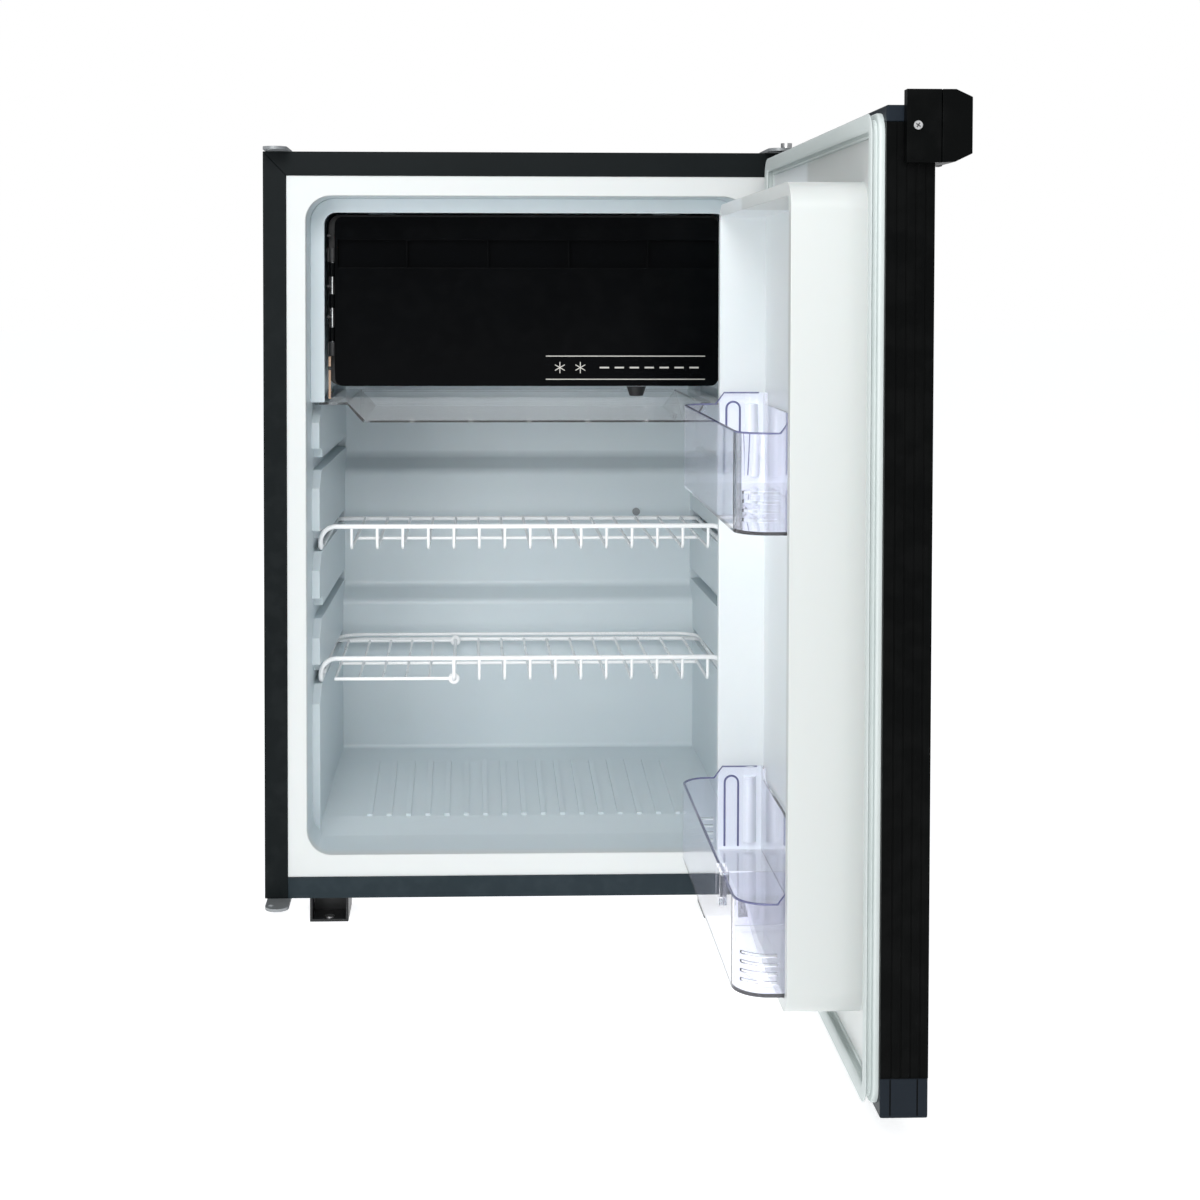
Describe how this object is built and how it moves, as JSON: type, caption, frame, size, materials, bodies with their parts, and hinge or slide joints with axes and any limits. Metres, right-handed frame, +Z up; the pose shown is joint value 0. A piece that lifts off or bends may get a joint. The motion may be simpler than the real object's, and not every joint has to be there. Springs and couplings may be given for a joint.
{
  "type": "mini fridge",
  "caption": "Built-in compressor mini fridge with a side-hinged door, freezer compartment, sliding wire shelves, drip tray and clear door bins.",
  "frame": {"origin": "on the floor under the middle of the cabinet, halfway between its front frame and its rear edge", "axes": "+X to the right seen from the front, +Y from the front to the rear, +Z up; the door stands open at 90 degrees on the right"},
  "size_m": [0.5645, 1.06, 0.778],
  "materials": {
    "black_enamel": "satin black enamel",
    "door_black": "gloss black enamel",
    "black_profile": "extruded black plastic, semi gloss",
    "freezer_black": "polished black",
    "black_plastic": "moulded black",
    "liner_white": "vacuum formed, smooth",
    "gasket_grey": "soft extruded seal",
    "clear_plastic": "clear moulded, faint violet",
    "clear_tray": "clear moulded",
    "white_wire": "white coated wire",
    "aluminium_sheet": "rolled sheet",
    "galvanised": "zinc coated sheet",
    "zinc_steel": "zinc plated",
    "black_steel": "stove enamel",
    "copper": "drawn copper",
    "rubber_black": "moulded rubber",
    "foam": "rigid foam, hidden"
  },
  "bodies": {
    "cabinet": {"outer_casing": "black_enamel", "frame_top": "black_enamel", "frame_bottom": "black_enamel", "frame_left": "black_enamel", "frame_right": "black_enamel", "feet": "black_enamel", "freezer_front_frame": "black_plastic", "freezer_hinge_arms": "black_plastic", "controller_box": "black_plastic", "fan_housing": "black_plastic", "power_inlet": "black_plastic", "evaporation_pan": "black_plastic", "inner_liner": "liner_white", "freezer_surround": "liner_white", "thermostat_housing": "liner_white", "evaporator_hangers": "liner_white", "drain_tube": "liner_white", "evaporator_box": "aluminium_sheet", "bottom_panel": "galvanised", "rear_panel": "galvanised", "base_plate": "galvanised", "hinge_plates": "zinc_steel", "spare_hinge_plates": "zinc_steel", "hinge_pins": "zinc_steel", "hinge_plate_screws": "zinc_steel", "freezer_hinge_pin": "zinc_steel", "rear_wall_screw": "zinc_steel", "compressor_bolts": "zinc_steel", "compressor": "black_steel", "condenser": "black_steel", "condenser_brackets": "black_steel", "filter_drier": "copper", "hot_gas_tube": "copper", "suction_tube": "copper", "capillary_tube": "copper", "compressor_grommets": "rubber_black", "insulation_foam": "foam"},
    "door": {"door_panel": "door_black", "door_profile_free": "black_profile", "door_profile_hinge": "black_profile", "door_cap_top": "black_profile", "door_cap_bottom": "black_profile", "door_foam": "foam", "door_liner": "liner_white", "door_gasket": "gasket_grey", "latch_base": "black_profile", "latch_pin": "zinc_steel", "latch_screw": "zinc_steel"},
    "latch_lever": {"latch_lever": "black_profile"},
    "freezer_door": {"freezer_door": "freezer_black", "freezer_door_inner": "liner_white"},
    "thermostat_knob": {"thermostat_knob": "black_plastic"},
    "drip_tray": {"drip_tray": "clear_tray"},
    "upper_shelf": {"upper_shelf": "white_wire"},
    "lower_shelf": {"lower_shelf": "white_wire"},
    "bottle_flap": {"bottle_flap": "white_wire"},
    "upper_bin": {"upper_bin": "clear_plastic"},
    "lower_bin": {"lower_bin": "clear_plastic"},
    "bottle_clip": {"bottle_clip": "clear_plastic"},
    "fan_rotor": {"fan_rotor": "black_plastic"}
  },
  "joints": [
    {"name": "door_hinge", "type": "hinge", "parent": "cabinet", "child": "door", "pos_m": [0.254, -0.278, 0.4], "axis": [0, 0, 1], "range_deg": [-90, 45]},
    {"name": "latch_pull", "type": "hinge", "parent": "door", "child": "latch_lever", "pos_m": [0.286, -0.754, 0.75], "axis": [0, 0, 1], "range_deg": [0, 18]},
    {"name": "freezer_door_hinge", "type": "hinge", "parent": "cabinet", "child": "freezer_door", "pos_m": [-0.198, -0.192, 0.62], "axis": [0, 0, -1], "range_deg": [0, 90]},
    {"name": "thermostat_turn", "type": "hinge", "parent": "cabinet", "child": "thermostat_knob", "pos_m": [0.118, -0.146, 0.527], "axis": [0, 0, -1], "range_deg": [0, 270]},
    {"name": "drip_tray_slide", "type": "slide", "parent": "cabinet", "child": "drip_tray", "axis": [0, -1, 0], "range_m": [0, 0.13]},
    {"name": "upper_shelf_slide", "type": "slide", "parent": "cabinet", "child": "upper_shelf", "axis": [0, -1, 0], "range_m": [0, 0.13]},
    {"name": "lower_shelf_slide", "type": "slide", "parent": "cabinet", "child": "lower_shelf", "axis": [0, -1, 0], "range_m": [0, 0.13]},
    {"name": "bottle_flap_hinge", "type": "hinge", "parent": "lower_shelf", "child": "bottle_flap", "pos_m": [-0.07398, -0.05, 0.2251], "axis": [0, 1, 0], "range_deg": [0, 165]},
    {"name": "upper_bin_lift", "type": "slide", "parent": "door", "child": "upper_bin", "axis": [0, 0, 1], "range_m": [0, 0.022]},
    {"name": "lower_bin_lift", "type": "slide", "parent": "door", "child": "lower_bin", "axis": [0, 0, 1], "range_m": [0, 0.022]},
    {"name": "bottle_clip_slide", "type": "slide", "parent": "lower_bin", "child": "bottle_clip", "axis": [0, 1, 0], "range_m": [-0.03, 0.24]},
    {"name": "fan_spin", "type": "hinge", "parent": "cabinet", "child": "fan_rotor", "pos_m": [0.105, 0.184, 0.135], "axis": [0, 1, 0], "continuous": true}
  ]
}
